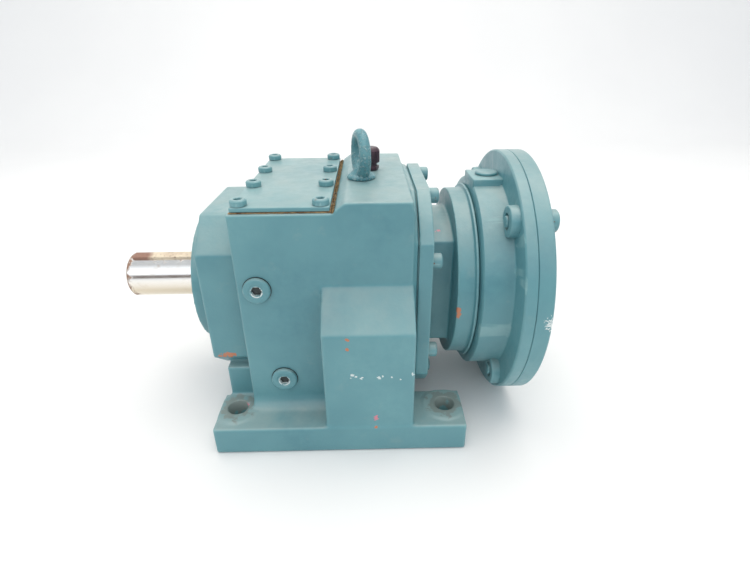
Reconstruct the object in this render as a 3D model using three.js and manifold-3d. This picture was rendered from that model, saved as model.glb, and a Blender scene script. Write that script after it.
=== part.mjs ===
import * as THREE from "three";
import { mergeVertices } from "three/addons/utils/BufferGeometryUtils.js";
import Module from "manifold-3d";

const wasm = await Module();
wasm.setup();

// Foot-mounted inline helical gear reducer. Millimetres. X runs along the shafts, with the output shaft
// towards -X and the motor flange towards +X. Sizes below are taken from the shaft axis (y = 0, z = 0);
// a group lifts the whole assembly by AXIS_HEIGHT, so that the foot stands on z = 0.
const AXIS_HEIGHT = 118;
const FLOOR = -AXIS_HEIGHT;
const GAP = 0.25; // clearance left between pieces that touch on the real object
const SEAT_GAP = 0.6; // the same for a round seat, whose facets cut inside its radius
const INCH = 25.4;

// Gearcase
const FOOT = { halfX: 108.6, halfY: 119.5, inner: 73, thick: 26.5, holeX: 92.7, holeY: 92, holeR: 8.75 };
const FOOT_TOP = FLOOR + FOOT.thick;
const PAD = { r: 19.5, rise: 1.2 };
const BLOCK = { x0: -78.8, x1: 62, halfY: 89, top: 88.4, rimX: 65.4, rimInset: 0.8 };
const WALL_FILLET = 12;
const DECK = { x0: 2, lip: 91.2, chamferX: 10, x1: 60.5, top: 96.7 };
const NOSE = { x0: -114.4, halfY: 72, flatY: 43, top: 75, sideTop: 49, sideBottom: -50, bottom: -75 };
const BOSS = { x0: -126.5, r: 61 };
const LEG = { x0: -103, halfY: 74 };
const BULGE = { x0: -11.5, x1: 62.6, halfY: 118.3, top: 28.5, faceTop: 0 };

// Inspection cover
const COVER = { x0: -76.2, x1: -1.7, halfY: 86.3, top: 93.1, thick: 3.7 };
const GASKET_THICK = 0.6;
const COVER_SCREW = { xs: [-70, -8.5], ys: [-80, -25.9, 25.9, 80], shankR: 3.3, headR: 6.5, headH: 5, length: 16 };

// Input side
const PLATE = { x0: 66.2, x1: 77.4, halfY: 87, flatZ: 61.5, top: 94.5, flatY: 48 };
const PLATE_SCREW = { at: [[75, 43], [38, 86.5]], shankR: 3.3, headR: 6.5, headH: 8, length: 20 };
const NECK = { half: 49, arch: 13, x1: 100 };
const RING = { r: 80, lipX: 114.6, lipR: 84, x1: 117.2 };
const BELL = { x0: 117.8, r: 90.5, boreR: 82, x1: 154.4, flangeX: 144.5 };
const BELL_PAD = { x0: 118.8, halfY: 19, z: 94.6, plugX: 133.9, plugR: 10 };
const FLANGE_R = 4.5 * INCH;
const ADAPTER = { x0: 154.7, x1: 168.2, pilotR: 2.25 * INCH, pilotDepth: 4, boreR: 50 };
const MOTOR_BOLT = { circleR: (5.875 * INCH) / 2, holeR: 5.2, headR: 9 };
const FLANGE_BOLT = {
  circleR: (7.75 * INCH) / 2,
  angle: 47.5,
  shankR: 6.2,
  headR: 9.525,
  headH: 12.7,
  sink: 4.4,
  bossR: 13,
  bossX: 137,
  end: 135.5,
};

// Two helical stages with one centre distance
const CENTRE_DISTANCE = 72;
const TEETH = { inputPinion: 15, intermediateGear: 43, intermediatePinion: 13, outputGear: 45 };
const MODULE = (2 * CENTRE_DISTANCE) / (TEETH.inputPinion + TEETH.intermediateGear);
const HELIX = THREE.MathUtils.degToRad(14.8);
const PRESSURE = THREE.MathUtils.degToRad(20.6);
const TOOTH_THINNING = 0.13; // taken off each flank at the pitch line
const LAYSHAFT_ANGLE = THREE.MathUtils.degToRad(225);
const LAY = {
  y: CENTRE_DISTANCE * Math.cos(LAYSHAFT_ANGLE),
  z: CENTRE_DISTANCE * Math.sin(LAYSHAFT_ANGLE),
};
const STAGE_2 = { gearX: [-56, -28], pinionX: [-58, -26] };
const STAGE_1 = { gearX: [2, 28], pinionX: [1, 30] };

// Bearings: inner bore radius, outer radius, span along X
const BEARINGS = {
  output_a: { r: 25, outer: 45, x: [-105, -85], lay: false },
  output_b: { r: 22.5, outer: 37.5, x: [-22, -6], lay: false },
  intermediate_c: { r: 12.5, outer: 26, x: [-75, -61], lay: true },
  intermediate_d: { r: 12.5, outer: 26, x: [-21.5, -6.5], lay: true },
  input_e: { r: 17.5, outer: 36, x: [40, 57], lay: false },
  input_f: { r: 17.5, outer: 36, x: [83, 100], lay: false },
};
const CHAMBER_2 = { x0: -60, x1: -24, halfY: 80, z0: -85 };
const CHAMBER_1 = { x0: -4, x1: 50, halfY: 78, z0: -85, z1: 82 };
const BULGE_POCKET = { r: 58.6, x1: 34 };
const SPIGOT_R = 61.5;

// Shafts
const SHAFT = { end: -202.7, r: 1.625 * (INCH / 2), shoulder: -127, seatR: 25, gearR: 27 };
const KEY_WIDTH = 0.375 * INCH;
// At rest the key stands a little towards -Y from the top of the shaft.
const OUTPUT_KEY = { x0: -198, x1: -129, top: SHAFT.r + 1.9, floor: SHAFT.r - KEY_WIDTH / 2, turn: 10 };
const COUPLING = { r: 38, hubX: [111, 128], jaw: 16, motorEnd: 161, motorBoreR: 0.3125 * INCH };

// ---- solids ----

function toSolid(geometry) {
  const bare = geometry.index ? geometry.toNonIndexed() : geometry.clone();
  bare.deleteAttribute("normal");
  bare.deleteAttribute("uv");
  const merged = mergeVertices(bare, 1e-4);
  const triVerts = new Uint32Array(merged.index.array);
  const vertProperties = merged.attributes.position.array;
  let solid = new wasm.Manifold(new wasm.Mesh({ numProp: 3, vertProperties, triVerts }));
  if (solid.volume() < 0) {
    for (let i = 0; i < triVerts.length; i += 3) {
      [triVerts[i + 1], triVerts[i + 2]] = [triVerts[i + 2], triVerts[i + 1]];
    }
    solid = new wasm.Manifold(new wasm.Mesh({ numProp: 3, vertProperties, triVerts }));
  }
  return solid;
}

function extrude(outline, basis, from, to) {
  const shape = new THREE.Shape(outline.map(([a, b]) => new THREE.Vector2(a, b)));
  const geometry = new THREE.ExtrudeGeometry(shape, { depth: to - from, bevelEnabled: false });
  geometry.translate(0, 0, from);
  geometry.applyMatrix4(basis);
  return toSolid(geometry);
}

const Y_Z_TO_X = new THREE.Matrix4().makeBasis(
  new THREE.Vector3(0, 1, 0),
  new THREE.Vector3(0, 0, 1),
  new THREE.Vector3(1, 0, 0),
);
const X_Z_TO_Y = new THREE.Matrix4().makeBasis(
  new THREE.Vector3(1, 0, 0),
  new THREE.Vector3(0, 0, 1),
  new THREE.Vector3(0, -1, 0),
);

const prismX = (outline, x0, x1) => extrude(outline, Y_Z_TO_X, x0, x1);
const prismY = (outline, y0, y1) => extrude(outline, X_Z_TO_Y, -y1, -y0);

function box(x0, x1, y0, y1, z0, z1) {
  const geometry = new THREE.BoxGeometry(x1 - x0, y1 - y0, z1 - z0);
  return toSolid(geometry.translate((x0 + x1) / 2, (y0 + y1) / 2, (z0 + z1) / 2));
}

// Profile points are [position along the axis, radius]; a profile that leaves the axis is a closed loop.
function lathe(profile, segments) {
  const points = profile.map(([along, radius]) => new THREE.Vector2(radius, along));
  if (profile[0][1] > 0) {
    points.push(points[0].clone());
  }
  return toSolid(new THREE.LatheGeometry(points, segments));
}

const AXIS_TURN = { x: [0, 0, -90], y: [0, 0, 0], z: [90, 0, 0] };
const turned = (profile, axis = "x", segments = 48) => lathe(profile, segments).rotate(AXIS_TURN[axis]);

function rod(r, from, to, axis = "x", segments = 40) {
  return turned([[from, 0], [from, r], [to, r], [to, 0]], axis, segments);
}

function tube(outer, inner, from, to, segments = 48) {
  return turned([[from, inner], [from, outer], [to, outer], [to, inner]], "x", segments);
}

function hexPrism(acrossFlats, from, to, axis) {
  return rod(acrossFlats / Math.sqrt(3), from, to, axis, 6);
}

const onLayshaft = (solid) => solid.translate([0, LAY.y, LAY.z]);
const mirrored = (values) => values.flatMap((v) => [-v, v]);

// Outline in (y, z) with cut corners: the side flats end at sideTop and sideBottom.
function cutCorners(halfY, flatY, top, sideTop, sideBottom, bottom) {
  return [
    [-flatY, top],
    [-halfY, sideTop],
    [-halfY, sideBottom],
    [-flatY, bottom],
    [flatY, bottom],
    [halfY, sideBottom],
    [halfY, sideTop],
    [flatY, top],
  ];
}

// The input plate's outline, drawn in by an inset for what lies under it.
function plateOutline(inset = 0) {
  const top = PLATE.top - inset;
  return cutCorners(PLATE.halfY - inset, PLATE.flatY, top, PLATE.flatZ, -PLATE.flatZ, -top);
}

// ---- assembly ----

const assembly = new THREE.Group();
assembly.name = "inline_gear_reducer";
const shaftAxis = new THREE.Group();
shaftAxis.position.z = AXIS_HEIGHT;
assembly.add(shaftAxis);
const layshaftAxis = new THREE.Group();
layshaftAxis.position.set(0, LAY.y, LAY.z);
shaftAxis.add(layshaftAxis);

// Adds a solid, drawn about its own origin, as a named mesh in the group, and returns it to be placed.
function add(name, solid, material, group = shaftAxis) {
  const mesh = solid.getMesh();
  const geometry = new THREE.BufferGeometry();
  const positions = new Float32Array(mesh.numVert * 3);
  for (let i = 0; i < mesh.numVert; i++) {
    positions.set(mesh.vertProperties.subarray(i * mesh.numProp, i * mesh.numProp + 3), i * 3);
  }
  geometry.setAttribute("position", new THREE.BufferAttribute(positions, 3));
  geometry.setIndex(new THREE.BufferAttribute(mesh.triVerts, 1));
  geometry.computeVertexNormals();
  const node = new THREE.Mesh(geometry, material);
  node.name = name;
  group.add(node);
  return node;
}

function surface(color, roughness, metalness) {
  return new THREE.MeshStandardMaterial({ color, roughness, metalness, flatShading: true });
}

const tealPaint = surface(0x5f959c, 0.4, 0);
const groundSteel = surface(0xc9c4ba, 0.22, 1);
const rustyKey = surface(0x9a8266, 0.6, 0.4);
const gearSteel = surface(0x77756f, 0.35, 1);
const bearingSteel = surface(0xb5b5b2, 0.2, 1);
const hubIron = surface(0x55554f, 0.45, 1);
const darkPlastic = surface(0x33282e, 0.4, 0);
const rubber = surface(0x1c1c1b, 0.55, 0);
const gasketPaper = surface(0x6b4a2c, 0.85, 0);
const elastomer = surface(0xb8412c, 0.5, 0);

// ---- gearcase ----

function footRail(side) {
  const near = side * FOOT.inner;
  const far = side * FOOT.halfY;
  let rail = box(-FOOT.halfX, FOOT.halfX, Math.min(near, far), Math.max(near, far), FLOOR, FOOT_TOP);
  const wallY = side * (BLOCK.halfY - 1);
  const foot = side * (BLOCK.halfY + WALL_FILLET);
  const steps = [0, 1, 2, 3, 4].map((i) => {
    const angle = (i / 4) * (Math.PI / 2);
    return [
      foot - side * WALL_FILLET * Math.sin(angle),
      FOOT_TOP + WALL_FILLET * (1 - Math.cos(angle)),
    ];
  });
  const fillet = [[wallY, FOOT_TOP - 1], [foot, FOOT_TOP - 1], ...steps, [wallY, FOOT_TOP + WALL_FILLET]];
  rail = rail.add(prismX(side < 0 ? fillet : fillet.reverse(), BLOCK.x0, BLOCK.x1));
  for (const x of mirrored([FOOT.holeX])) {
    const pad = rod(PAD.r, FOOT_TOP - 1, FOOT_TOP + PAD.rise, "z", 28);
    const trim = box(-FOOT.halfX, FOOT.halfX, -FOOT.halfY, FOOT.halfY, FLOOR, 0);
    rail = rail.add(pad.translate([x, side * FOOT.holeY, 0]).intersect(trim));
  }
  return rail;
}

function caseOutside() {
  const bulge = [
    [-BLOCK.halfY + 4, FLOOR],
    [-BULGE.halfY, FLOOR],
    [-BULGE.halfY, BULGE.faceTop],
    [-BLOCK.halfY, BULGE.top],
    [-BLOCK.halfY + 4, BULGE.top],
  ];
  const deck = [
    [DECK.x0, BLOCK.top - 1],
    [DECK.x1, BLOCK.top - 1],
    [DECK.x1, DECK.top],
    [DECK.chamferX, DECK.top],
    [DECK.x0, DECK.lip],
  ];
  const nose = cutCorners(NOSE.halfY, NOSE.flatY, NOSE.top, NOSE.sideTop, NOSE.sideBottom, NOSE.bottom);
  return box(BLOCK.x0, BLOCK.x1, -BLOCK.halfY, BLOCK.halfY, FLOOR, BLOCK.top)
    .add(footRail(-1))
    .add(footRail(1))
    .add(prismY(deck, -BLOCK.halfY, BLOCK.halfY))
    .add(prismX(nose, NOSE.x0, BLOCK.x0 + 1))
    .add(rod(BOSS.r, BOSS.x0, NOSE.x0 + 1, "x", 64))
    .add(box(LEG.x0, BLOCK.x0 + 1, -LEG.halfY, LEG.halfY, FLOOR, NOSE.bottom + 15))
    .add(prismX(bulge, BULGE.x0, BULGE.x1))
    .add(prismX(plateOutline(BLOCK.rimInset), BLOCK.x1 - 1, BLOCK.rimX));
}

function caseInside() {
  const a = BEARINGS.output_a;
  const b = BEARINGS.output_b;
  const c = BEARINGS.intermediate_c;
  const d = BEARINGS.intermediate_d;
  const web = [CHAMBER_2.x1 - 1, CHAMBER_1.x0 + 1];
  return [
    box(CHAMBER_2.x0, CHAMBER_2.x1, -72, 72, CHAMBER_2.z0, BLOCK.top + 1),
    box(CHAMBER_2.x0, CHAMBER_2.x1, -CHAMBER_2.halfY, CHAMBER_2.halfY, CHAMBER_2.z0, 60),
    box(CHAMBER_1.x0, CHAMBER_1.x1, -CHAMBER_1.halfY, CHAMBER_1.halfY, CHAMBER_1.z0, CHAMBER_1.z1),
    onLayshaft(rod(BULGE_POCKET.r, CHAMBER_1.x0, BULGE_POCKET.x1, "x", 32)),
    rod(SPIGOT_R + 0.5, CHAMBER_1.x1 - 1, BLOCK.rimX + 1, "x", 36),
    rod(36 + SEAT_GAP, BOSS.x0 - 1, a.x[0], "x", 32),
    rod(a.outer + SEAT_GAP, a.x[0] - GAP, CHAMBER_2.x0 + 1, "x", 28),
    rod(b.outer + SEAT_GAP, web[0], web[1], "x", 28),
    onLayshaft(rod(c.outer + SEAT_GAP, c.x[0] - GAP, CHAMBER_2.x0 + 1, "x", 24)),
    onLayshaft(rod(d.outer + SEAT_GAP, web[0], web[1], "x", 24)),
  ];
}

const EYEBOLT_AT = [21.3, -17.2];
const BREATHER_AT = [29.7, 14];
const OIL_PLUGS = { oil_plug_upper: [-62.4, 26.5], oil_plug_lower: [-48.6, -61.1] };

function caseHoles() {
  const holes = [];
  for (const x of mirrored([FOOT.holeX])) {
    for (const y of mirrored([FOOT.holeY])) {
      holes.push(rod(FOOT.holeR, FLOOR - 1, FOOT_TOP + 5, "z", 24).translate([x, y, 0]));
    }
  }
  for (const x of COVER_SCREW.xs) {
    for (const y of COVER_SCREW.ys) {
      holes.push(rod(3.7, BLOCK.top - 16, BLOCK.top + 1, "z", 8).translate([x, y, 0]));
    }
  }
  for (const [y, z] of plateScrewPlaces()) {
    holes.push(rod(3.7, BLOCK.rimX - 13, BLOCK.rimX + 1, "x", 8).translate([0, y, z]));
  }
  for (const [x, z] of Object.values(OIL_PLUGS)) {
    holes.push(rod(8.4, -BLOCK.halfY - 1, -BLOCK.halfY + 12, "y", 20).translate([x, 0, z]));
  }
  holes.push(rod(5.4, DECK.top - 14, DECK.top + 1, "z", 16).translate([...EYEBOLT_AT, 0]));
  holes.push(rod(5.4, CHAMBER_1.z1 - 1, DECK.top + 1, "z", 16).translate([...BREATHER_AT, 0]));
  return holes;
}

function plateScrewPlaces() {
  const [[sideY, sideZ], [topY, topZ]] = PLATE_SCREW.at;
  const places = [];
  for (const [y, z] of [[sideY, sideZ], [topY, topZ]]) {
    for (const a of mirrored([y])) {
      for (const b of mirrored([z])) {
        places.push([a, b]);
      }
    }
  }
  return places;
}

function gearHousing() {
  return [...caseInside(), ...caseHoles()].reduce((solid, cut) => solid.subtract(cut), caseOutside());
}

// ---- cover ----

function coverHoles(r) {
  return COVER_SCREW.xs.flatMap((x) =>
    COVER_SCREW.ys.map((y) => rod(r, BLOCK.top - 1, COVER.top + 1, "z", 12).translate([x, y, 0])),
  );
}

function inspectionCover() {
  const slab = box(COVER.x0, COVER.x1, -COVER.halfY, COVER.halfY, COVER.top - COVER.thick, COVER.top);
  return coverHoles(4.3).reduce((solid, cut) => solid.subtract(cut), slab);
}

function coverGasket() {
  const z0 = BLOCK.top + 0.2;
  const over = 0.5;
  const halfY = COVER.halfY + over;
  const sheet = box(COVER.x0 - over, COVER.x1 + over, -halfY, halfY, z0, z0 + GASKET_THICK);
  const window_ = box(CHAMBER_2.x0, CHAMBER_2.x1, -70, 70, z0 - 1, z0 + 2);
  return coverHoles(4.3).reduce((solid, cut) => solid.subtract(cut), sheet.subtract(window_));
}

// Socket head cap screw along +X, its head's underside at zero and its shank towards -X.
function capScrew({ shankR, headR, headH, length }, socket, segments = 10) {
  const edge = 0.8;
  const profile = [
    [-length, 0],
    [-length, shankR],
    [0, shankR],
    [0, headR],
    [headH - edge, headR],
    [headH, headR - edge],
    [headH, 0],
  ];
  return turned(profile, "x", segments).subtract(hexPrism(socket, headH * 0.4, headH + 1, "x"));
}

// ---- plugs, eyebolt, breather ----

// Flanged plug with a hexagon socket, its collar's back at y = 0 and its head towards -Y.
function oilPlug() {
  const collarR = 11;
  const profile = [[-3.5, 0], [-3.5, collarR - 0.8], [-2.7, collarR], [0, collarR], [0, 8], [10, 8], [10, 0]];
  return turned(profile, "y", 24).subtract(hexPrism(8, -5, 3, "y"));
}

const EYE = { collarR: 12.5, collarH: 3, neckH: 8, centre: 20.3, wireR: 4.6, ringR: 16, shankR: 5, yaw: -76 };

// The ring stands in the (x, z) plane on a collar whose underside is z = 0.
function liftingEyebolt() {
  const { collarR, collarH, neckH, shankR } = EYE;
  const ring = toSolid(new THREE.TorusGeometry(EYE.ringR, EYE.wireR, 8, 24)).rotate([90, 0, 0]);
  const profile = [
    [-12, 0],
    [-12, shankR],
    [0, shankR],
    [0, collarR],
    [collarH, collarR],
    [neckH, 6.5],
    [neckH + 1.5, 6],
    [neckH + 1.5, 0],
  ];
  return turned(profile, "z", 20).add(ring.translate([0, 0, EYE.centre]));
}

const BREATHER = { neckH: 6, capR: 8.5, capH: 14 };

function breatherStem() {
  const { neckH } = BREATHER;
  const profile = [[-10, 0], [-10, 5], [0, 5], [0, 8], [neckH - 2, 8], [neckH - 2, 5.5], [neckH, 5.5], [neckH, 0]];
  return turned(profile, "z", 20);
}

function breatherCap() {
  const { capR, capH } = BREATHER;
  const profile = [[0, 0], [0, capR - 1], [1, capR], [capH - 2.5, capR], [capH, capR - 2], [capH, 0]];
  return turned(profile, "z", 20);
}

// ---- input housing, bell and adapter ring ----

// A square neck whose top and bottom faces are arched.
function neckOutline() {
  const steps = [-1, -0.6, -0.2, 0.2, 0.6, 1];
  const arch = (t) => NECK.half + NECK.arch * (1 - t * t);
  const top = steps.map((t) => [-t * NECK.half, arch(t)]);
  return [...top, ...top.map(([y, z]) => [-y, -z])];
}

function inputHousing() {
  const e = BEARINGS.input_e;
  const f = BEARINGS.input_f;
  const x0 = BLOCK.rimX + 0.8;
  let solid = prismX(plateOutline(), x0, PLATE.x1)
    .add(rod(SPIGOT_R, BLOCK.rimX - 8, x0 + 1, "x", 36))
    .add(rod(47, e.x[0], x0, "x", 32))
    .add(prismX(neckOutline(), PLATE.x1 - 1, NECK.x1 + 1))
    .add(rod(RING.r, NECK.x1, RING.x1, "x", 48))
    .add(rod(RING.lipR, RING.lipX, RING.x1, "x", 48));
  const cuts = [
    rod(e.outer + SEAT_GAP, e.x[0] - 1, e.x[1] + GAP, "x", 32),
    rod(24, e.x[1], f.x[0], "x", 32),
    rod(f.outer + SEAT_GAP, f.x[0] - GAP, 111, "x", 32),
    rod(44, 110, RING.x1 + 1, "x", 40),
    ...plateScrewPlaces().map(([y, z]) => rod(4.3, x0 - 1, PLATE.x1 + 1, "x", 12).translate([0, y, z])),
  ];
  return cuts.reduce((all, cut) => all.subtract(cut), solid);
}

function inputGasket() {
  const x0 = BLOCK.rimX + 0.15;
  const outline = plateOutline(BLOCK.rimInset + 2);
  const cuts = [
    rod(SPIGOT_R + 2, x0 - 1, x0 + 2, "x", 36),
    ...plateScrewPlaces().map(([y, z]) => rod(4.4, x0 - 1, x0 + 2, "x", 8).translate([0, y, z])),
  ];
  return cuts.reduce((all, cut) => all.subtract(cut), prismX(outline, x0, x0 + 0.5));
}

// Four places on a circle, one in each quarter, at an angle from the horizontal.
function around(radius, degrees = 45) {
  return [degrees, 180 - degrees, 180 + degrees, -degrees].map((d) => {
    const angle = THREE.MathUtils.degToRad(d);
    return [radius * Math.cos(angle), radius * Math.sin(angle)];
  });
}

const flangeBoltPlaces = () => around(FLANGE_BOLT.circleR, FLANGE_BOLT.angle);

function motorBell() {
  const back = 6;
  const profile = [
    [BELL.x0, 45],
    [BELL.x0, BELL.r - 3],
    [BELL.x0 + 1, BELL.r],
    [BELL.flangeX, BELL.r],
    [BELL.flangeX, FLANGE_R - 1],
    [BELL.flangeX + 1, FLANGE_R],
    [BELL.x1, FLANGE_R],
    [BELL.x1, BELL.boreR],
    [BELL.x0 + back, BELL.boreR],
    [BELL.x0 + back, 45],
  ];
  const pad = box(BELL_PAD.x0, BELL.flangeX + 1, -BELL_PAD.halfY, BELL_PAD.halfY, BELL.boreR - 2, BELL_PAD.z);
  const bosses = flangeBoltPlaces().map(([y, z]) => {
    return rod(FLANGE_BOLT.bossR, FLANGE_BOLT.bossX, BELL.flangeX + 1, "x", 20).translate([0, y, z]);
  });
  const holes = flangeBoltPlaces().map(([y, z]) => {
    return rod(FLANGE_BOLT.shankR + 0.5, FLANGE_BOLT.end - 1.5, BELL.x1 + 1, "x", 12).translate([0, y, z]);
  });
  const cuts = [
    rod(BELL.boreR, BELL.x0 + back, BELL.x1 + 1, "x", 48),
    rod(8.3, BELL.boreR - 4, BELL_PAD.z + 1, "z", 20).translate([BELL_PAD.plugX, 0, 0]),
    ...holes,
  ];
  const whole = [pad, ...bosses].reduce((bell, piece) => bell.add(piece), turned(profile, "x", 48));
  return cuts.reduce((bell, cut) => bell.subtract(cut), whole);
}

function accessPlug() {
  const r = BELL_PAD.plugR;
  return turned([[-8, 0], [-8, 8], [0, 8], [0, r], [2, r], [2.8, r - 1], [2.8, 0]], "z", 28);
}

function adapterRing() {
  const edge = 1;
  const profile = [
    [ADAPTER.x0, ADAPTER.boreR],
    [ADAPTER.x0, FLANGE_R],
    [ADAPTER.x1 - edge, FLANGE_R],
    [ADAPTER.x1, FLANGE_R - edge],
    [ADAPTER.x1, ADAPTER.pilotR],
    [ADAPTER.x1 - ADAPTER.pilotDepth, ADAPTER.pilotR],
    [ADAPTER.x1 - ADAPTER.pilotDepth, ADAPTER.boreR],
  ];
  let ring = turned(profile, "x", 48);
  for (const [y, z] of flangeBoltPlaces()) {
    const hole = rod(FLANGE_BOLT.shankR + 0.5, ADAPTER.x0 - 1, ADAPTER.x1 + 1, "x", 12);
    const spotFace = rod(FLANGE_BOLT.headR + 0.8, ADAPTER.x1 - FLANGE_BOLT.sink, ADAPTER.x1 + 1, "x", 20);
    ring = ring.subtract(hole.add(spotFace).translate([0, y, z]));
  }
  for (const [y, z] of around(MOTOR_BOLT.circleR)) {
    ring = ring.subtract(rod(MOTOR_BOLT.holeR, ADAPTER.x0 - 1, ADAPTER.x1 + 1, "x", 16).translate([0, y, z]));
  }
  return ring;
}

const FLANGE_SEAT_X = ADAPTER.x1 - FLANGE_BOLT.sink + GAP;

// ---- gears ----

const involute = (angle) => Math.tan(angle) - angle;

function toothOutline(teeth, phase) {
  const pitch = (MODULE * teeth) / 2;
  const base = pitch * Math.cos(PRESSURE);
  const radii = [pitch - 1.2 * MODULE, pitch, pitch + MODULE];
  const halfAngle = (r) => {
    const pressure = Math.acos(Math.min(1, base / Math.max(r, base)));
    return Math.PI / (2 * teeth) + involute(PRESSURE) - involute(pressure) - TOOTH_THINNING / pitch;
  };
  const outline = [];
  for (let i = 0; i < teeth; i++) {
    const centre = phase + (i * 2 * Math.PI) / teeth;
    for (const r of radii) {
      outline.push([r, centre - halfAngle(r)]);
    }
    for (const r of [...radii].reverse()) {
      outline.push([r, centre + halfAngle(r)]);
    }
  }
  return outline;
}

// Helical gear from x0 to x1. At midX a tooth points along the angle `phase`.
function helicalGear(teeth, phase, x0, x1, midX, hand, slices) {
  const outline = toothOutline(teeth, phase);
  const pitch = (MODULE * teeth) / 2;
  const positions = [];
  const count = outline.length;
  for (let s = 0; s <= slices; s++) {
    const x = x0 + ((x1 - x0) * s) / slices;
    const twist = (hand * (x - midX) * Math.tan(HELIX)) / pitch;
    for (const [r, angle] of outline) {
      positions.push(x, r * Math.cos(angle + twist), r * Math.sin(angle + twist));
    }
  }
  const first = positions.length / 3;
  positions.push(x0, 0, 0, x1, 0, 0);
  const index = [];
  for (let s = 0; s < slices; s++) {
    for (let i = 0; i < count; i++) {
      const a = s * count + i;
      const b = s * count + ((i + 1) % count);
      index.push(a, b, b + count, a, b + count, a + count);
    }
  }
  for (let i = 0; i < count; i++) {
    const next = (i + 1) % count;
    index.push(first, next, i);
    index.push(first + 1, slices * count + i, slices * count + next);
  }
  const geometry = new THREE.BufferGeometry();
  geometry.setAttribute("position", new THREE.BufferAttribute(new Float32Array(positions), 3));
  geometry.setIndex(index);
  return toSolid(geometry);
}

const middle = ([a, b]) => (a + b) / 2;
const halfPitch = (teeth) => Math.PI / teeth;

function outputGear() {
  const [x0, x1] = STAGE_2.gearX;
  const blank = helicalGear(TEETH.outputGear, LAYSHAFT_ANGLE, x0, x1, middle(STAGE_2.gearX), 1, 2);
  return blank
    .subtract(rod(SHAFT.gearR + SEAT_GAP, x0 - 1, x1 + 1, "x", 32))
    .subtract(box(x0 - 1, x1 + 1, -8, 8, 0, SHAFT.gearR + 5));
}

function intermediateGear() {
  const [x0, x1] = STAGE_1.gearX;
  const phase = LAYSHAFT_ANGLE + Math.PI;
  const blank = helicalGear(TEETH.intermediateGear, phase, x0, x1, middle(STAGE_1.gearX), 1, 2);
  return blank
    .subtract(rod(14 + SEAT_GAP, x0 - 1, x1 + 1, "x", 28))
    .subtract(box(x0 - 1, x1 + 1, -4.25, 4.25, 0, 17.5));
}

function intermediateShaft() {
  const [p0, p1] = STAGE_2.pinionX;
  const phase = LAYSHAFT_ANGLE + Math.PI + halfPitch(TEETH.intermediatePinion);
  const pinion = helicalGear(TEETH.intermediatePinion, phase, p0, p1, middle(STAGE_2.gearX), -1, 3);
  const r = BEARINGS.intermediate_c.r - SEAT_GAP;
  const profile = [[-74.5, 0], [-74.5, r - 1], [-73.5, r], [-5, r], [-5, 16], [1.5, 16], [1.5, 14], [30, 14], [30, 0]];
  return turned(profile, "x", 28).add(pinion).subtract(box(3, 31, -4.25, 4.25, 9.5, 15));
}

function inputShaft() {
  const [p0, p1] = STAGE_1.pinionX;
  const phase = LAYSHAFT_ANGLE + halfPitch(TEETH.inputPinion);
  const pinion = helicalGear(TEETH.inputPinion, phase, p0, p1, middle(STAGE_1.gearX), -1, 3);
  const r = BEARINGS.input_e.r - SEAT_GAP;
  const profile = [[p1 - 1, 0], [p1 - 1, 14], [38, 14], [38, r], [102, r], [102, 14], [127, 14], [127, 0]];
  return pinion.add(turned(profile, "x", 28));
}

function outputShaft() {
  const a = BEARINGS.output_a;
  const b = BEARINGS.output_b;
  const end = SHAFT.end;
  const profile = [
    [end, 0],
    [end, SHAFT.r - 1.5],
    [end + 1.5, SHAFT.r],
    [SHAFT.shoulder, SHAFT.r],
    [SHAFT.shoulder, a.r - SEAT_GAP],
    [a.x[1] + GAP, a.r - SEAT_GAP],
    [a.x[1] + GAP, 33],
    [STAGE_2.gearX[0] - GAP, 33],
    [STAGE_2.gearX[0] - GAP, SHAFT.gearR],
    [b.x[0] - 1, SHAFT.gearR],
    [b.x[0] - 1, b.r - SEAT_GAP],
    [-4, b.r - SEAT_GAP],
    [-4, 0],
  ];
  const half = KEY_WIDTH / 2;
  const slot = box(OUTPUT_KEY.x0, OUTPUT_KEY.x1, -half, half, OUTPUT_KEY.floor, SHAFT.r + 5);
  const gearSlot = box(STAGE_2.gearX[0] + 2, STAGE_2.gearX[1] - 2, -8, 8, SHAFT.gearR - 5.5, SHAFT.gearR + 1);
  return turned(profile, "x", 40).subtract(slot.rotate([OUTPUT_KEY.turn, 0, 0])).subtract(gearSlot);
}

function outputKey() {
  const g = GAP / 2;
  const half = KEY_WIDTH / 2;
  return box(OUTPUT_KEY.x0 + g, OUTPUT_KEY.x1 - g, g - half, half - g, OUTPUT_KEY.floor + g, OUTPUT_KEY.top);
}

function outputGearKey() {
  const [x0, x1] = STAGE_2.gearX;
  return box(x0 + 2.5, x1 - 2.5, -7.7, 7.7, SHAFT.gearR - 5.2, SHAFT.gearR + 4.6);
}

const intermediateGearKey = () => box(3.5, 27.5, -4, 4, 9.8, 17.2);

// ---- bearings and seals ----

function outerRing({ r, outer, x }) {
  const race = outer - (outer - r) * 0.22;
  const profile = [
    [x[0], race],
    [x[0], outer],
    [x[1], outer],
    [x[1], race],
  ];
  return turned(profile, "x", 20);
}

function innerRing({ r, outer, x }) {
  const ballR = (outer - r) * 0.25;
  const ballPitch = (outer + r) / 2;
  let ring = tube(r + (outer - r) * 0.34, r, x[0], x[1], 20);
  const balls = 6;
  for (let i = 0; i < balls; i++) {
    const angle = (i * 2 * Math.PI) / balls;
    const ball = toSolid(new THREE.IcosahedronGeometry(ballR, 0));
    ring = ring.add(ball.translate([middle(x), ballPitch * Math.cos(angle), ballPitch * Math.sin(angle)]));
  }
  return ring;
}

function outputSeal() {
  const x0 = BOSS.x0 - 0.4;
  return turned([[x0, 26], [x0, 35.8], [x0 + 11, 35.8], [x0 + 11, 25.4], [x0 + 3, 25.4]], "x", 32);
}

function inputSeal() {
  return turned([[101.4, 18], [101.4, 35.8], [109.4, 35.8], [109.4, 18]], "x", 32);
}

// ---- jaw coupling ----

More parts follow.
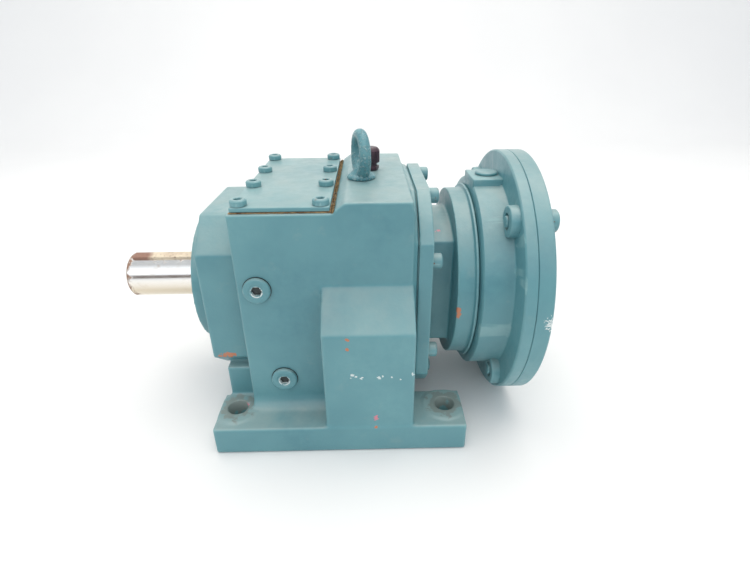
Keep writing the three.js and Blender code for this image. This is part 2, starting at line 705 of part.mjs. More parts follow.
function jaws(phase, x0, x1) {
  const sector = THREE.MathUtils.degToRad(20);
  const inner = 16;
  const outer = COUPLING.r;
  return [0, 1, 2].map((i) => {
    const centre = phase + (i * 2 * Math.PI) / 3;
    const steps = [-1, -0.5, 0, 0.5, 1].map((t) => centre + t * sector);
    const arc = steps.map((a) => [outer * Math.cos(a), outer * Math.sin(a)]);
    const back = [...steps].reverse().map((a) => [inner * Math.cos(a), inner * Math.sin(a)]);
    return prismX([...arc, ...back], x0, x1);
  });
}

const JAW_PHASE = Math.PI / 2;

function couplingHubInput() {
  const [x0, x1] = COUPLING.hubX;
  const body = jaws(JAW_PHASE, x1 - 0.5, x1 + COUPLING.jaw - 1).reduce(
    (solid, jaw) => solid.add(jaw),
    rod(COUPLING.r, x0, x1, "x", 36),
  );
  return body.subtract(rod(14 + SEAT_GAP, x0 - 1, x1 - 0.6, "x", 28));
}

function couplingHubMotor() {
  const x0 = COUPLING.hubX[1] + COUPLING.jaw;
  const body = jaws(JAW_PHASE + Math.PI / 3, COUPLING.hubX[1] + 1, x0 + 0.5).reduce(
    (solid, jaw) => solid.add(jaw),
    rod(COUPLING.r, x0, COUPLING.motorEnd, "x", 36),
  );
  const keyway = box(x0 - 1, COUPLING.motorEnd + 1, -2.4, 2.4, 0, COUPLING.motorBoreR + 2.4);
  return body.subtract(rod(COUPLING.motorBoreR, x0 - 1, COUPLING.motorEnd + 1, "x", 28)).subtract(keyway);
}

function couplingSpider() {
  const x0 = COUPLING.hubX[1] + 1;
  const x1 = COUPLING.hubX[1] + COUPLING.jaw - 1;
  let spider = tube(15.5, 9, x0, x1, 30);
  for (let i = 0; i < 6; i++) {
    const leg = box(x0, x1, 12, COUPLING.r - 1, -2.4, 2.4);
    spider = spider.add(leg.rotate([30 + 60 * i + THREE.MathUtils.radToDeg(JAW_PHASE), 0, 0]));
  }
  return spider;
}

// ---- put together ----

add("gear_housing", gearHousing(), tealPaint);
add("inspection_cover", inspectionCover(), tealPaint);
add("cover_gasket", coverGasket(), gasketPaper);
const coverScrew = capScrew(COVER_SCREW, 6);
COVER_SCREW.xs.forEach((x, i) => {
  COVER_SCREW.ys.forEach((y, j) => {
    const screw = add(`cover_screw_${i * COVER_SCREW.ys.length + j + 1}`, coverScrew, tealPaint);
    screw.position.set(x, y, COVER.top + GAP);
    screw.rotation.y = -Math.PI / 2;
  });
});

const eyebolt = add("lifting_eyebolt", liftingEyebolt(), tealPaint);
eyebolt.position.set(...EYEBOLT_AT, DECK.top + GAP);
eyebolt.rotation.z = THREE.MathUtils.degToRad(EYE.yaw);
const breather = new THREE.Group();
breather.position.set(...BREATHER_AT, DECK.top + GAP);
shaftAxis.add(breather);
add("breather_stem", breatherStem(), darkPlastic, breather);
add("breather_cap", breatherCap(), darkPlastic, breather).position.z = BREATHER.neckH + GAP;
for (const [name, [x, z]] of Object.entries(OIL_PLUGS)) {
  add(name, oilPlug(), tealPaint).position.set(x, -BLOCK.halfY - GAP, z);
}

add("input_housing", inputHousing(), tealPaint);
add("input_gasket", inputGasket(), gasketPaper);
const plateScrew = capScrew(PLATE_SCREW, 6);
plateScrewPlaces().forEach(([y, z], i) => {
  add(`plate_screw_${i + 1}`, plateScrew, tealPaint).position.set(PLATE.x1 + GAP, y, z);
});
add("motor_bell", motorBell(), tealPaint);
add("access_plug", accessPlug(), tealPaint).position.set(BELL_PAD.plugX, 0, BELL_PAD.z + GAP);
add("adapter_ring", adapterRing(), tealPaint);
const flangeScrew = capScrew({ ...FLANGE_BOLT, length: FLANGE_SEAT_X - FLANGE_BOLT.end }, 9.5, 12);
flangeBoltPlaces().forEach(([y, z], i) => {
  add(`flange_screw_${i + 1}`, flangeScrew, tealPaint).position.set(FLANGE_SEAT_X, y, z);
});
add("output_seal", outputSeal(), rubber);
add("input_seal", inputSeal(), rubber);
for (const [name, bearing] of Object.entries(BEARINGS)) {
  const group = bearing.lay ? layshaftAxis : shaftAxis;
  add(`bearing_${name}_outer`, outerRing(bearing), bearingSteel, group);
  add(`bearing_${name}_inner`, innerRing(bearing), bearingSteel, group);
}

add("output_shaft", outputShaft(), groundSteel);
add("output_key", outputKey(), rustyKey).rotation.x = THREE.MathUtils.degToRad(OUTPUT_KEY.turn);
add("output_gear", outputGear(), gearSteel);
add("output_gear_key", outputGearKey(), gearSteel);
add("intermediate_shaft", intermediateShaft(), gearSteel, layshaftAxis);
add("intermediate_gear", intermediateGear(), gearSteel, layshaftAxis);
add("intermediate_gear_key", intermediateGearKey(), gearSteel, layshaftAxis);
add("input_shaft", inputShaft(), gearSteel);
add("coupling_hub_input", couplingHubInput(), hubIron);
add("coupling_spider", couplingSpider(), elastomer);
add("coupling_hub_motor", couplingHubMotor(), hubIron);

export default assembly;
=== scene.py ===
"""Looks for the inline gear reducer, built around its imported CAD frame, +Z up.

Measures are in millimetres, and link() turns each mesh into metres. Lights and camera stand in metres.
"""

import math
import random

import bmesh
import bpy
from mathutils import Matrix, Vector


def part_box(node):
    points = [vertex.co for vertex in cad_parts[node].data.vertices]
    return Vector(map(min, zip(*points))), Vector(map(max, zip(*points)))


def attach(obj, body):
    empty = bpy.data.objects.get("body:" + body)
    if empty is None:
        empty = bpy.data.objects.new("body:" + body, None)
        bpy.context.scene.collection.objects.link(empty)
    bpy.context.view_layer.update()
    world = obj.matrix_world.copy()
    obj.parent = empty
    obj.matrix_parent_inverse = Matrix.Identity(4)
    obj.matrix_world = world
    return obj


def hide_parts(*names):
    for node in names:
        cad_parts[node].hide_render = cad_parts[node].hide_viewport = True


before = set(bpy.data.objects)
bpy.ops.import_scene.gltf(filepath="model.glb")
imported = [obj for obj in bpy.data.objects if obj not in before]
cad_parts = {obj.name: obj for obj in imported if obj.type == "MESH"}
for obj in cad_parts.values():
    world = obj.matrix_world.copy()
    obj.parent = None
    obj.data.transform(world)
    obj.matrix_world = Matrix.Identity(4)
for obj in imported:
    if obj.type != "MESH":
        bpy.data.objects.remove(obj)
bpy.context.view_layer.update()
MM = 0.001

STATIC = "reducer_body"
OUTPUT = "output_train"

# ---- measures taken from the frame ----


def span(node):
    """A CAD node's box as two lists in millimetres."""
    low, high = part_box(node)
    return [c / MM for c in low], [c / MM for c in high]


SHAFT_LOW, SHAFT_HIGH = span("output_shaft")
AXIS_Z = (SHAFT_LOW[2] + SHAFT_HIGH[2]) / 2
CASE_LOW, CASE_HIGH = span("gear_housing")
COVER_LOW, COVER_HIGH = span("inspection_cover")
GASKET_LOW, GASKET_HIGH = span("cover_gasket")
INPUT_HIGH = span("input_housing")[1]
BELL_LOW, BELL_HIGH = span("motor_bell")
RING_LOW, RING_HIGH = span("adapter_ring")
FLANGE_R = (BELL_HIGH[1] - BELL_LOW[1]) / 2
PLUG_LOW, PLUG_HIGH = span("access_plug")

# Gearcase: the feet are measured from the floor, and the other heights from the shaft axis
FOOT_THICK = 26.5
FOOT_INNER_Y = 73
FOOT_HOLE = (92.7, 92, 8.75)
PAD_R = 19.5
PAD_TOP = FOOT_THICK + 1.2
BLOCK_X = (-78.8, 62)
BLOCK_Y = 89
BLOCK_TOP = GASKET_LOW[2] - AXIS_Z - 0.2
WALL_FILLET = 12
DECK_EDGE_X = (2, 10)
DECK_RIGHT_X = 60.5
DECK_TOP = CASE_HIGH[2] - AXIS_Z
DECK_LIP = DECK_TOP - 5.5
NOSE_LEFT_X = -114.4
BOSS_R = 61
BOSS_BORE_R = 36.2
LEG_LEFT_X = -103
BULGE_X = (-11.5, 62.6)
BULGE_Y = 118.3
BULGE_TOP = 28.5
RIM_RIGHT_X = 65.4
RIM_INSET = 0.8

# Output shaft and key
SHAFT_R = 20.6375
SHOULDER_R = 24.2
KEY_HALF = 9.525 / 2
KEY_PROUD = 1.9
KEY_TURN = 10

# Input side
PLATE_X = (RIM_RIGHT_X + 0.8, 77.4)
PLATE = {"half_y": 87, "flat_y": 48, "top": 94.5, "flat_z": 61.5}
NECK_HALF = 49
NECK_ARCH = 13
RING_X = (100, 114.6, INPUT_HIGH[0])
RING_R = 80
RING_LIP_R = 84
BELL_R = 90.5
BELL_BORE_R = 82
PAD_HALF_Y = 19
FLANGE_X = 144.5
BOSS_X = 137
FLANGE_SINK = 4.4
FLANGE_HOLE_R = 6.9
FLANGE_SEAT_R = 10.4
PLATE_HOLE_R = 4.3
PLATE_SEAT_R = 8.6
PILOT_R = 57.15
MOTOR_HOLE_R = 5.2
MOTOR_CIRCLE_R = 5.875 * 25.4 / 2

# Fittings on the deck and walls
FLAT_SEAT = CASE_HIGH[2] + 0.25
EYE_CENTRE = (21.3, -17.2)
EYE_RING_R = 16
EYE_WIRE = 4.6
EYE_TURN = math.radians(-76)
PLUG_HEXAGON = 8
OIL_PLUGS = ("oil_plug_upper", "oil_plug_lower")

# ---- mesh helpers ----


def link(mesh_name, bm):
    """A new object that holds the bmesh, scaled from millimetres."""
    bmesh.ops.recalc_face_normals(bm, faces=bm.faces)
    mesh = bpy.data.meshes.new(mesh_name)
    bm.to_mesh(mesh)
    bm.free()
    mesh.transform(Matrix.Scale(MM, 4))
    piece = bpy.data.objects.new(mesh_name, mesh)
    bpy.context.scene.collection.objects.link(piece)
    return piece


def on_axis(axis, along, a, b):
    """A point from its place along the axis and two across it."""
    return {"x": (along, a, b), "y": (a, along, b), "z": (a, b, along)}[axis]


def soften(points, radius, steps=4, closed=False):
    """The outline with each corner replaced by a short curve."""
    count = len(points)
    out = []
    for i, point in enumerate(points):
        if not closed and i in (0, count - 1):
            out.append(point)
            continue
        corner = Vector(point)
        before = Vector(points[i - 1]) - corner
        after = Vector(points[(i + 1) % count]) - corner
        reach = min(radius, before.length * 0.45, after.length * 0.45)
        start = corner + before.normalized() * reach
        end = corner + after.normalized() * reach
        for s in range(steps + 1):
            t = s / steps
            out.append(tuple(start * (1 - t) ** 2 + corner * 2 * t * (1 - t) + end * t * t))
    return out


def revolve(name, profile, axis="x", centre=(0, 0), segments=96, radius=0.0):
    """A turned solid of (place along the axis, radius) points. A profile off the axis is a closed loop."""
    closed = profile[0][1] > 0
    if radius:
        profile = soften(profile, radius, closed=closed)
    bm = bmesh.new()
    rings = []
    for along, r in profile:
        if r < 1e-6:
            rings.append([bm.verts.new(on_axis(axis, along, centre[0], centre[1]))])
            continue
        ring = []
        for i in range(segments):
            angle = 2 * math.pi * i / segments
            a = centre[0] + r * math.cos(angle)
            b = centre[1] + r * math.sin(angle)
            ring.append(bm.verts.new(on_axis(axis, along, a, b)))
        rings.append(ring)
    pairs = list(zip(rings, rings[1:]))
    if closed:
        pairs.append((rings[-1], rings[0]))
    for first, second in pairs:
        for i in range(segments):
            j = (i + 1) % segments
            corners = [first[i % len(first)], first[j % len(first)]]
            corners += [second[j % len(second)], second[i % len(second)]]
            unique = list(dict.fromkeys(corners))
            if len(unique) > 2:
                bm.faces.new(unique)
    return link(name, bm)


def rod(start, end, r):
    """The profile of a plain round bar between two places along its axis."""
    return [(start, 0), (start, r), (end, r), (end, 0)]


def prism(name, outline, axis, start, end):
    """An outline of points across the axis, drawn out from start to end."""
    bm = bmesh.new()
    near = [bm.verts.new(on_axis(axis, start, a, b)) for a, b in outline]
    far = [bm.verts.new(on_axis(axis, end, a, b)) for a, b in outline]
    bm.faces.new(near)
    bm.faces.new(far)
    for i in range(len(outline)):
        j = (i + 1) % len(outline)
        bm.faces.new([near[i], near[j], far[j], far[i]])
    return link(name, bm)


def block(name, low, high):
    """A plain box between two corners."""
    outline = [(low[0], low[1]), (high[0], low[1]), (high[0], high[1]), (low[0], high[1])]
    return prism(name, outline, "z", low[2], high[2])


def apply_modifier(piece, kind, **settings):
    modifier = piece.modifiers.new(kind.lower(), kind)
    for key, value in settings.items():
        setattr(modifier, key, value)
    bpy.context.view_layer.objects.active = piece
    bpy.ops.object.modifier_apply(modifier=modifier.name)


def join(pieces):
    """All the pieces as one object, the first, with their solids still overlapping."""
    first = pieces[0]
    bm = bmesh.new()
    for piece in pieces:
        bm.from_mesh(piece.data)
    bm.to_mesh(first.data)
    bm.free()
    for piece in pieces[1:]:
        bpy.data.objects.remove(piece)
    return first


def boolean(piece, other, operation):
    apply_modifier(piece, "BOOLEAN", object=other, operation=operation, solver="MANIFOLD")
    bpy.data.objects.remove(other)
    return piece


def cut(piece, *others):
    for other in others:
        boolean(piece, other, "DIFFERENCE")
    return piece


def cast(pieces, voxel, rounds):
    """Overlapping solids merged into one casting, with its corners rounded off."""
    piece = join(pieces)
    apply_modifier(piece, "REMESH", mode="VOXEL", voxel_size=voxel * MM)
    apply_modifier(piece, "SMOOTH", factor=0.5, iterations=rounds)
    return piece


def bevel(piece, width, segments=3, angle=30):
    apply_modifier(
        piece,
        "BEVEL",
        width=width * MM,
        segments=segments,
        limit_method="ANGLE",
        angle_limit=math.radians(angle),
    )
    return piece


def smooth(piece, angle=32):
    piece.data.shade_smooth()
    piece.data.set_sharp_from_angle(angle=math.radians(angle))
    return piece


def dress(piece, material, node, body=STATIC, angle=32):
    """Finishes a piece: its material, the CAD node it stands for, its body and its finish."""
    smooth(piece, angle)
    piece.data.materials.clear()
    piece.data.materials.append(material)
    if node:
        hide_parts(node)
    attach(piece, body)
    return piece


def hexagon(across_flats, centre=(0, 0), turn=0.0):
    """Outline of a hexagon of the given key size."""
    r = across_flats / math.sqrt(3)
    angles = [turn + i * math.pi / 3 for i in range(6)]
    return [(centre[0] + r * math.cos(a), centre[1] + r * math.sin(a)) for a in angles]


def quarter_turns(radius, start=45):
    """Four places in (y, z) on a circle round the shaft axis."""
    angles = [math.radians(start + 90 * i) for i in range(4)]
    return [(radius * math.cos(a), AXIS_Z + radius * math.sin(a)) for a in angles]


def seat_of(node, axes=(1, 2)):
    """The middle of a CAD node's box, across its own axis."""
    low, high = span(node)
    return tuple((low[i] + high[i]) / 2 for i in axes)


def flange_bolts():
    return [seat_of(f"flange_screw_{i}") for i in range(1, 5)]


def cut_corners(half_y, flat_y, top, side_top, side_bottom, bottom):
    """Outline in (y, z) round the shaft axis, its side flats ending at side_top and side_bottom."""
    right = [(flat_y, top), (half_y, side_top), (half_y, side_bottom), (flat_y, bottom)]
    left = [(-y, z) for y, z in reversed(right)]
    return [(y, AXIS_Z + z) for y, z in right + left]


# ---- materials ----


class Graph:
    """A material's node tree, with short calls for the nodes used here."""

    def __init__(self, name, **values):
        self.material = bpy.data.materials.new(name)
        self.material.use_nodes = True
        self.nodes = self.material.node_tree.nodes
        self.links = self.material.node_tree.links
        self.shader = self.nodes["Principled BSDF"]
        self.where = self.nodes.new("ShaderNodeTexCoord").outputs["Object"]
        for key, value in values.items():
            self.shader.inputs[key.replace("_", " ")].default_value = value

    def feed(self, socket, value):
        if isinstance(value, bpy.types.NodeSocket):
            self.links.new(value, socket)
        elif socket.type == "RGBA":
            socket.default_value = (*value[:3], 1)
        else:
            socket.default_value = value

    def stretched(self, scale):
        node = self.nodes.new("ShaderNodeMapping")
        node.inputs["Scale"].default_value = scale
        self.feed(node.inputs["Vector"], self.where)
        return node.outputs["Vector"]

    def noise(self, scale, detail=3.0, roughness=0.55, vector=None, distortion=0.0):
        node = self.nodes.new("ShaderNodeTexNoise")
        self.feed(node.inputs["Vector"], vector or self.where)
        node.inputs["Scale"].default_value = scale
        node.inputs["Detail"].default_value = detail
        node.inputs["Roughness"].default_value = roughness
        node.inputs["Distortion"].default_value = distortion
        return node.outputs["Fac"]

    def between(self, value, low, high, to_low=0.0, to_high=1.0):
        node = self.nodes.new("ShaderNodeMapRange")
        for socket, given in zip(node.inputs, (value, low, high, to_low, to_high)):
            self.feed(socket, given)
        return node.outputs["Result"]

    def math(self, operation, a, b=0.0):
        node = self.nodes.new("ShaderNodeMath")
        node.operation = operation
        node.use_clamp = operation in ("ADD", "SUBTRACT", "MULTIPLY")
        self.feed(node.inputs[0], a)
        self.feed(node.inputs[1], b)
        return node.outputs[0]

    def mix(self, factor, a, b):
        node = self.nodes.new("ShaderNodeMix")
        node.data_type = "RGBA"
        self.feed(node.inputs["Factor"], factor)
        self.feed(node.inputs["A"], a)
        self.feed(node.inputs["B"], b)
        return node.outputs["Result"]

    def upward(self):
        """1 on faces that look up, 0 on walls and undersides."""
        split = self.nodes.new("ShaderNodeSeparateXYZ")
        self.feed(split.inputs[0], self.where.node.outputs["Normal"])
        return self.between(split.outputs["Z"], 0.35, 0.95)

    def edges(self):
        """1 along outside corners, where the paint gets a painted highlight."""
        node = self.nodes.new("ShaderNodeNewGeometry")
        return self.between(node.outputs["Pointiness"], 0.515, 0.56)

    def axis(self, name):
        node = self.nodes.new("ShaderNodeSeparateXYZ")
        self.feed(node.inputs[0], self.where)
        return node.outputs[name]

    def distance(self, point):
        node = self.nodes.new("ShaderNodeVectorMath")
        node.operation = "DISTANCE"
        self.feed(node.inputs[0], self.where)
        node.inputs[1].default_value = [c * MM for c in point]
        return node.outputs["Value"]

    def spot(self, point, radius, ragged=0.5, scale=400):
        """1 inside a ragged patch round a point given in millimetres."""
        depth = ragged * radius * MM
        wobble = self.between(self.noise(scale, 4), 0.3, 0.7, -depth, depth)
        reach = self.math("SUBTRACT", self.distance(point), wobble)
        reach.node.use_clamp = False
        return self.between(reach, radius * MM * 0.95, radius * MM * 0.8)

    def annulus(self, point, inner, outer):
        """1 on a broken ring between two radii, in millimetres, round a point."""
        away = self.distance(point)
        inside = self.between(away, inner * MM, (inner + 0.4) * MM)
        outside = self.between(away, outer * MM, (outer - 0.5) * MM)
        broken = self.between(self.noise(260, 3), 0.42, 0.50)
        return self.math("MULTIPLY", self.math("MULTIPLY", inside, outside), broken)

    def either(self, masks):
        """The strongest of several masks."""
        total = masks[0]
        for mask in masks[1:]:
            total = self.math("MAXIMUM", total, mask)
        return total

    def bump(self, height, strength, distance, normal=None):
        node = self.nodes.new("ShaderNodeBump")
        node.inputs["Strength"].default_value = strength
        node.inputs["Distance"].default_value = distance
        self.feed(node.inputs["Height"], height)
        if normal:
            self.feed(node.inputs["Normal"], normal)
        return node.outputs["Normal"]

    def color(self, value):
        self.feed(self.shader.inputs["Base Color"], value)

    def roughness(self, value):
        self.feed(self.shader.inputs["Roughness"], value)

    def normal(self, value):
        self.feed(self.shader.inputs["Normal"], value)


TEAL = (0.112, 0.290, 0.325)
TEAL_LIGHT = (0.145, 0.335, 0.365)
TEAL_DARK = (0.085, 0.240, 0.280)
# Pale grey-green laid on upward faces as a painted sheen
TOP_SHEEN = (0.45, 0.46, 0.41)
PRIMER = (0.50, 0.19, 0.10)
BARE = (0.66, 0.72, 0.71)
# Pale teal for the painted highlight along outside corners
EDGE = (0.27, 0.46, 0.47)
GRIME = (0.21, 0.26, 0.245)
RUST = (0.20, 0.075, 0.03)
PINK = (0.62, 0.22, 0.27)
STAIN = (0.30, 0.38, 0.35)
PALE_SPECK = (0.36, 0.48, 0.48)


def chips(g, color, spots, ragged, scale, tint):
    """Lays a chip of one colour over the paint at each (point, radius)."""
    if not spots:
        return color
    masks = [g.spot(point, radius, ragged, scale) for point, radius in spots]
    return g.mix(g.either(masks), color, tint)


def paint(name, primer=(), bare=(), grime=(), pink=(), ring=None, coarse=0.25, rust_share=0.0):
    """Sprayed enamel over rough iron, paler on top with a painted sheen and painted highlights on its
    outside corners, chipped to primer or metal at given points.
    """
    g = Graph(name, Roughness=0.36)
    tone = g.between(g.noise(9, 3), 0.35, 0.65)
    color = g.mix(tone, TEAL_DARK, TEAL_LIGHT)
    color = g.mix(g.between(g.noise(160, 5), 0.35, 0.7, 0.0, 0.55), color, TEAL)
    # Painted sheen: upward faces turn paler and greyer in patches
    patches = g.between(g.noise(30, 6, 0.65), 0.30, 0.75, 0.18, 0.50)
    color = g.mix(g.math("MULTIPLY", g.upward(), patches), color, TOP_SHEEN)
    # Painted highlight: paler teal along outside corners
    edge_highlight = g.math("MULTIPLY", g.edges(), g.between(g.noise(55, 4), 0.35, 0.6, 0.15, 0.6))
    color = g.mix(edge_highlight, color, EDGE)
    stain = g.between(g.noise(45, 6, 0.65), 0.60, 0.78, 0.0, 0.22)
    color = g.mix(stain, color, STAIN)
    specks = g.between(g.noise(900, 2), 0.77, 0.80, 0.0, 0.6)
    color = g.mix(specks, color, PALE_SPECK)
    color = chips(g, color, grime, 0.35, 120, GRIME)
    color = chips(g, color, pink, 1.0, 500, PINK)
    color = chips(g, color, primer, 0.6, 260, PRIMER)
    color = chips(g, color, bare, 1.0, 700, BARE)
    if ring:
        color = g.mix(g.annulus(*ring), color, BARE)
    if rust_share:
        rust = g.between(g.noise(240, 5, 0.65), 1 - rust_share, 1.04 - rust_share)
        color = g.mix(rust, color, RUST)
    g.color(color)
    g.roughness(g.between(g.noise(110, 4), 0.3, 0.7, 0.28, 0.44))
    lumps = g.bump(g.noise(70, 3), 0.5, 0.0006 * coarse / 0.25)
    grain = g.bump(g.noise(420, 5, 0.6), coarse, 0.0007, lumps)
    g.normal(g.bump(g.noise(1900, 2), 0.12, 0.0003, grain))
    return g.material


def ground_steel(name, end_x, shoulder_x):
    """Bright ground steel, darkened to brown towards its underside by a painted reflection, rusted at the
    end, the seal and the keyway.
    """
    g = Graph(name, Metallic=1.0)
    stain = g.noise(95, 6, 0.7, None, 0.4)
    x = g.axis("X")
    z = g.axis("Z")
    by_end = g.between(x, (end_x + 12) * MM, (end_x + 1) * MM, 0.0, 0.7)
    by_seal = g.between(x, (shoulder_x - 3) * MM, shoulder_x * MM)
    on_top = g.between(z, (AXIS_Z + 13) * MM, (AXIS_Z + 21) * MM, 0.0, 0.36)
    wear = g.either([by_end, by_seal, on_top])
    level = g.math("ADD", g.math("MULTIPLY", wear, 0.36), g.math("MULTIPLY", stain, 0.75))
    rust = g.between(level, 0.52, 0.62)
    # Painted reflection: the steel turns brown and darker below the shaft axis
    underside_reflection = g.between(z, (AXIS_Z + 4) * MM, (AXIS_Z - 8) * MM)
    steel = g.mix(underside_reflection, (0.95, 0.94, 0.92), (0.68, 0.60, 0.47))
    color = g.mix(g.between(stain, 0.55, 0.72, 0.0, 0.4), steel, (0.62, 0.52, 0.42))
    g.color(g.mix(rust, color, g.mix(g.noise(300, 4), (0.16, 0.08, 0.05), (0.42, 0.27, 0.19))))
    g.feed(g.shader.inputs["Metallic"], g.between(rust, 0.0, 1.0, 1.0, 0.1))
    matt = g.between(rust, 0.0, 1.0, 0.0, 0.8)
    polish = g.between(stain, 0.3, 0.7, 0.12, 0.22)
    g.roughness(g.math("MAXIMUM", matt, polish))
    lines = g.noise(1, 2, 0.6, g.stretched((900, 18, 18)))
    g.normal(g.bump(lines, 0.05, 0.0001, g.bump(rust, 0.35, 0.0002)))
    return g.material


def key_steel(low_x, high_x):
    """A key gone brown at both ends and cream between them."""
    g = Graph("rusty_key", Metallic=0.2)
    patches = g.noise(110, 6, 0.7)
    x = g.axis("X")
    ends = g.either([
        g.between(x, (low_x + 24) * MM, (low_x + 10) * MM),
        g.between(x, (high_x - 12) * MM, (high_x - 5) * MM),
    ])
    level = g.math("ADD", g.math("MULTIPLY", ends, 0.5), g.math("MULTIPLY", patches, 0.5))
    color = g.mix(g.between(patches, 0.40, 0.60), (0.72, 0.62, 0.47), (0.60, 0.49, 0.37))
    color = g.mix(g.between(level, 0.42, 0.62), color, (0.30, 0.165, 0.12))
    color = g.mix(g.between(g.noise(420, 4), 0.60, 0.68, 0.0, 0.7), color, (0.15, 0.07, 0.04))
    g.color(color)
    g.roughness(g.between(patches, 0.3, 0.7, 0.38, 0.66))
    g.normal(g.bump(g.noise(600, 4), 0.25, 0.0003))
    return g.material


def machined(name, tint, rough=0.32, direction=(30, 30, 900)):
    """Plain machined steel or iron, with faint tool lines and oil stains."""
    g = Graph(name, Metallic=1.0)
    lines = g.noise(1, 2, 0.6, g.stretched(direction))
    oil = g.noise(60, 5)
    darker = [c * 0.7 for c in tint]
    g.color(g.mix(g.between(oil, 0.45, 0.65, 0.0, 0.6), g.mix(lines, darker, tint), darker))
    g.roughness(g.between(lines, 0.3, 0.7, rough - 0.06, rough + 0.1))
    g.normal(g.bump(lines, 0.15, 0.0002))
    return g.material


def dull(name, color_a, color_b, scale, rough, bump_size=0.0003):
    """Rubber, plastic or gasket: two tones, and a fine grain."""
    g = Graph(name)
    g.color(g.mix(g.between(g.noise(scale, 5, 0.65), 0.35, 0.65), color_a, color_b))
    g.roughness(g.between(g.noise(scale * 2, 3), 0.3, 0.7, rough - 0.08, rough + 0.08))
    g.normal(g.bump(g.noise(scale * 4, 4), 0.4, bump_size))
    return g.material


def bulge_flakes(count=13):
    """Small flakes scattered along a band of the bulge's face, as (point, radius)."""
    rng = random.Random(11)
    flakes = []
    for _ in range(count):
        place = (rng.uniform(10, 61), -BULGE_Y, AXIS_Z - 39.5 + rng.uniform(-2.6, 2.6))
        flakes.append((place, rng.uniform(0.5, 1.5)))
    return flakes


def foot_holes():
    """The four foot holes' places in (x, y)."""
    x, y, _ = FOOT_HOLE
    return [(sx * x, sy * y) for sx in (-1, 1) for sy in (-1, 1)]


CASE_PAINT = paint(
    "case_paint",
    primer=[
        ((-95.5, -72, 70.8), 2.0),
        ((-99.0, -72, 70.6), 3.2),
        ((-103.5, -72, 70.0), 2.2),
        ((-108.0, -72, 69.6), 2.4),
        ((8.9, -BULGE_Y, 115), 1.8),
        ((8.6, -BULGE_Y, 106), 1.5),
        ((30.6, -BULGE_Y, 26.5), 1.6),
    ],
    bare=bulge_flakes(),
    grime=[((x, y, PAD_TOP), 17) for x, y in foot_holes()],
    pink=[
        ((-85.1, -88.3, FOOT_THICK), 2.2),
        ((93.6, -86.8, PAD_TOP), 2.2),
        ((30.6, -BULGE_Y, 36), 2.2),
    ],
)
PART_PAINT = paint(
    "part_paint",
    primer=[((101.5, -79.8, AXIS_Z - 0.5), 2.6), ((101.5, -79.6, AXIS_Z - 5.5), 2.8)],
    pink=[((86.6, -36.8, AXIS_Z + 56), 2.2)],
)
FLANGE_PAINT = paint("flange_paint", bare=[((167.6, -114.0, AXIS_Z + 5), 4.8)])
BOLT_PAINT = paint("bolt_paint", coarse=0.15, rust_share=0.37)
KEY_LOW, KEY_HIGH = span("output_key")
SHAFT_STEEL = ground_steel("shaft_steel", SHAFT_LOW[0], CASE_LOW[0])
KEY_STEEL = key_steel(KEY_LOW[0], KEY_HIGH[0])
GASKET = dull("gasket_paper", (0.10, 0.045, 0.02), (0.42, 0.27, 0.13), 260, 0.8, 0.0006)
GRIT = dull("gasket_grit", (0.012, 0.010, 0.009), (0.30, 0.19, 0.07), 420, 0.8, 0.0006)
CAP_PLASTIC = dull("cap_plastic", (0.030, 0.014, 0.022), (0.075, 0.035, 0.052), 180, 0.36)
SEAL_RUBBER = dull("seal_rubber", (0.012, 0.012, 0.012), (0.035, 0.033, 0.030), 150, 0.5)
# Near-black: the painted shade in the hexagon sockets, and the plugs' sealing rings
SOCKET_DARK = dull("socket_dark", (0.015, 0.02, 0.02), (0.05, 0.06, 0.06), 400, 0.5)

# ---- gearcase ----


def foot_section(side):
    """Outline in (y, z) of one foot rail with the hollow fillet up to the wall."""
    arc = []
    for i in range(9):
        angle = math.pi / 2 * i / 8
        y = BLOCK_Y + WALL_FILLET * (1 - math.sin(angle))
        z = FOOT_THICK + WALL_FILLET * (1 - math.cos(angle))
        arc.append((side * y, z))
    inner, outer = side * (BLOCK_Y - 5), side * (BLOCK_Y + WALL_FILLET)
    return [(inner, 5), (outer, 5), *arc, (inner, arc[-1][1])]


def case_solids():
    """The overlapping solids that the gearcase is cast from, with the block first."""
    nose = cut_corners(72, 43, 75, 49, -50, -75)
    rim = arched_plate(RIM_INSET)
    deck = [
        (DECK_EDGE_X[0], AXIS_Z + BLOCK_TOP - 3),
        (DECK_RIGHT_X, AXIS_Z + BLOCK_TOP - 3),
        (DECK_RIGHT_X, AXIS_Z + DECK_TOP),
        (DECK_EDGE_X[1], AXIS_Z + DECK_TOP),
        (DECK_EDGE_X[0], AXIS_Z + DECK_LIP),
    ]
    ramp_top = AXIS_Z + BULGE_TOP
    bulge = [(-80, 0), (-BULGE_Y, 0), (-BULGE_Y, AXIS_Z), (-BLOCK_Y, ramp_top), (-80, ramp_top)]
    solids = [
        block("case", (BLOCK_X[0], -BLOCK_Y, 0), (BLOCK_X[1], BLOCK_Y, AXIS_Z + BLOCK_TOP)),
        prism("deck", deck, "y", -BLOCK_Y, BLOCK_Y),
        prism("nose", nose, "x", NOSE_LEFT_X, BLOCK_X[0] + 5),
        revolve("boss", rod(CASE_LOW[0], -100, BOSS_R), centre=(0, AXIS_Z)),
        block("leg", (LEG_LEFT_X, -74, 0), (BLOCK_X[0] + 5, 74, AXIS_Z - 60)),
        prism("bulge", bulge, "x", *BULGE_X),
        prism("rim", rim, "x", BLOCK_X[1] - 5, RIM_RIGHT_X),
    ]
    for side in (-1, 1):
        y_in, y_out = sorted((side * FOOT_INNER_Y, side * CASE_HIGH[1]))
        solids.append(block("rail", (-CASE_HIGH[0], y_in, 0), (CASE_HIGH[0], y_out, FOOT_THICK)))
        solids.append(prism("fillet", foot_section(side), "x", *BLOCK_X))
    return solids


